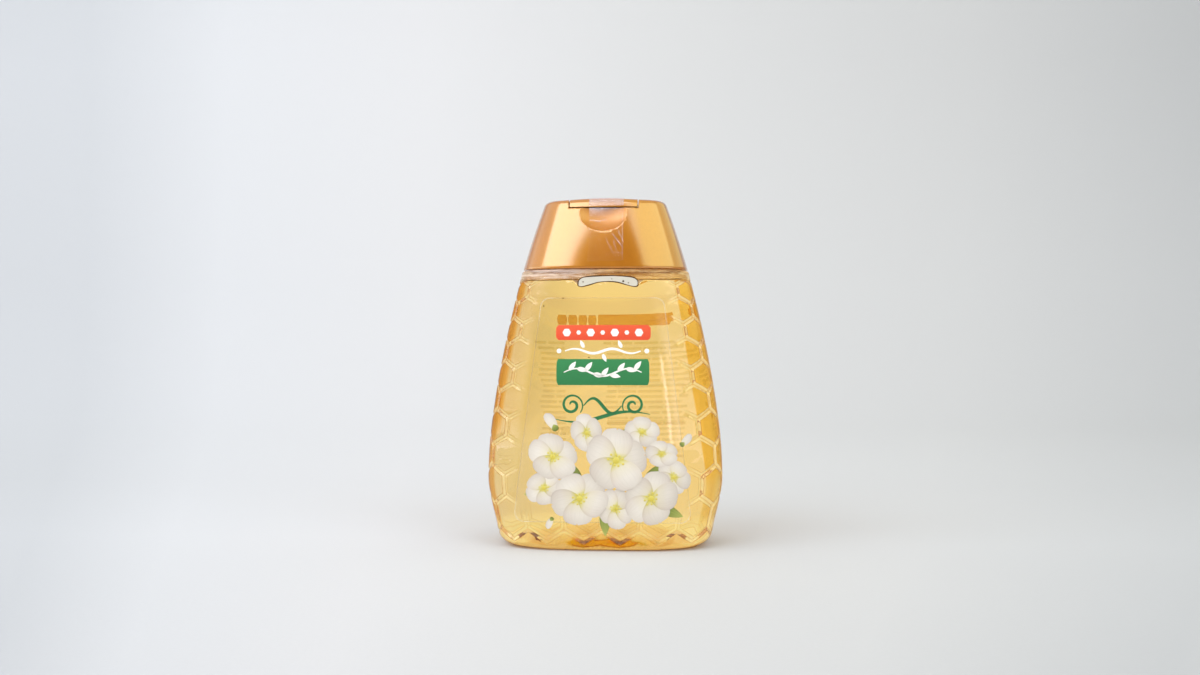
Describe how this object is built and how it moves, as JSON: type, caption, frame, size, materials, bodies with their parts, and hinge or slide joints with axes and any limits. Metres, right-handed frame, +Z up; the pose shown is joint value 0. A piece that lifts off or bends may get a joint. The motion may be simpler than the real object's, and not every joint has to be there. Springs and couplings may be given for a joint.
{
  "type": "honey squeeze bottle",
  "caption": "Clear oval squeeze bottle of honey with honeycomb relief on its sides, film labels and a gold flip-top cap with a flush hinged lid and a dispensing valve.",
  "frame": {"origin": "middle of the standing face at the bottle's foot", "axes": "+Z up along the bottle, X across its width, front label and thumb notch facing -Y"},
  "size_m": [0.0758, 0.0418, 0.1111],
  "materials": {
    "clear_pet": "clear blow-moulded PET, glossy",
    "honey": "clear pale golden honey",
    "gold_plastic": "pearlescent gold moulded plastic, satin gloss",
    "silicone": "translucent white silicone",
    "retainer_plastic": "natural moulded plastic",
    "front_film": null,
    "back_film": null,
    "tape_film": "clear tamper tape, slightly wrinkled"
  },
  "bodies": {
    "bottle_body": {"bottle": "clear_pet", "honey_fill": "honey", "front_label": "front_film", "back_label": "back_film", "cap_body": "gold_plastic", "living_hinge": "gold_plastic", "dispensing_valve": "silicone", "valve_retainer": "retainer_plastic", "seal_tape_cap": "tape_film"},
    "lid": {"flip_lid": "gold_plastic", "seal_tape_lid": "tape_film"}
  },
  "joints": [
    {"name": "lid_hinge", "type": "hinge", "parent": "bottle_body", "child": "lid", "pos_m": [0, 0.007, 0.1106], "axis": [-1, 0, 0], "range_deg": [0, 160]}
  ]
}
